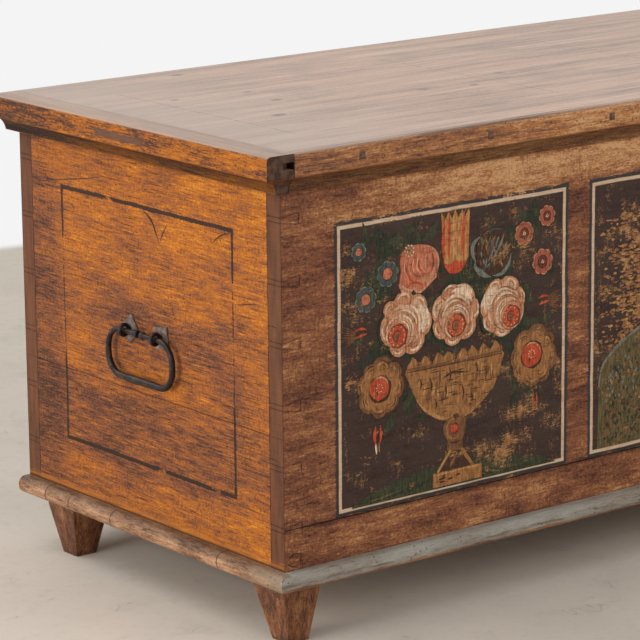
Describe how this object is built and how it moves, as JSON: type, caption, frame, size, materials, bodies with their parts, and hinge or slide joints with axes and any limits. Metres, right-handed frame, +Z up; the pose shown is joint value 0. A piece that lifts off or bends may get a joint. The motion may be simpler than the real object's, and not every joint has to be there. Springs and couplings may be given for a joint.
{
  "type": "painted trunk",
  "caption": "Low painted wooden blanket chest with dovetailed corners, hinged overhanging lid, iron bail handle at each end and tapered feet.",
  "frame": {"origin": "on the floor, under the middle of the trunk's bounding box", "axes": "+X along the front to the right as seen from the front, +Y from the front to the back, +Z up"},
  "size_m": [1.344, 0.575, 0.585],
  "materials": {
    "painted_front": "worn red-brown paint on pine",
    "painted_end": "worn orange-ochre paint on pine",
    "bare_back": "bare aged pine",
    "painted_base": "worn grey-blue and ochre paint on pine",
    "painted_foot": "worn red-brown paint on pine",
    "worn_lid": "paint worn through to waxed pine",
    "painted_cleat": "worn orange-brown paint on pine",
    "painted_moulding": "worn orange-brown paint on pine",
    "inner_pine": "bare aged pine",
    "wrought_iron": "dark forged iron, rubbed on its edges",
    "iron_nail": "dark hammered iron"
  },
  "bodies": {
    "case": {"back_board_lower": "bare_back", "back_board_upper": "bare_back", "bottom_board_1": "painted_base", "bottom_board_2": "painted_base", "bottom_board_3": "painted_base", "bottom_board_4": "painted_base", "bottom_nails": "iron_nail", "case_strap_nails": "iron_nail", "foot_back_left": "painted_foot", "foot_back_right": "painted_foot", "foot_front_left": "painted_foot", "foot_front_right": "painted_foot", "front_board_lower": "painted_front", "front_board_upper": "painted_front", "left_back_eye": "wrought_iron", "left_back_plate": "wrought_iron", "left_case_strap": "wrought_iron", "left_end_board_lower": "painted_end", "left_end_board_upper": "painted_end", "left_front_eye": "wrought_iron", "left_front_plate": "wrought_iron", "left_hinge_pin": "wrought_iron", "lock_case": "wrought_iron", "lock_guides": "wrought_iron", "lock_nails": "iron_nail", "right_back_eye": "wrought_iron", "right_back_plate": "wrought_iron", "right_case_strap": "wrought_iron", "right_end_board_lower": "painted_end", "right_end_board_upper": "painted_end", "right_front_eye": "wrought_iron", "right_front_plate": "wrought_iron", "right_hinge_pin": "wrought_iron", "till_bottom": "inner_pine", "till_side": "inner_pine"},
    "lid": {"front_moulding": "painted_moulding", "hasp_nails": "iron_nail", "hasp_staple": "wrought_iron", "left_end_cleat": "painted_cleat", "left_lid_strap": "wrought_iron", "lid_board_back": "worn_lid", "lid_board_front": "worn_lid", "lid_board_middle": "worn_lid", "lid_strap_nails": "iron_nail", "lock_hasp": "wrought_iron", "moulding_nails": "iron_nail", "right_end_cleat": "painted_cleat", "right_lid_strap": "wrought_iron"},
    "left_bail": {"left_bail": "wrought_iron"},
    "right_bail": {"right_bail": "wrought_iron"},
    "lock_bolt": {"lock_bolt": "wrought_iron"}
  },
  "joints": [
    {"name": "lid_hinge", "type": "hinge", "parent": "case", "child": "lid", "pos_m": [0, 0.2764, 0.5506], "axis": [-1, 0, 0], "range_deg": [0, 100]},
    {"name": "left_bail_swing", "type": "hinge", "parent": "case", "child": "left_bail", "pos_m": [-0.6528, 0, 0.3244], "axis": [0, 1, 0], "range_deg": [-5, 170]},
    {"name": "right_bail_swing", "type": "hinge", "parent": "case", "child": "right_bail", "pos_m": [0.6528, 0, 0.3244], "axis": [0, -1, 0], "range_deg": [-5, 170]},
    {"name": "bolt_throw", "type": "slide", "parent": "case", "child": "lock_bolt", "axis": [1, 0, 0], "range_m": [0, 0.014]}
  ]
}
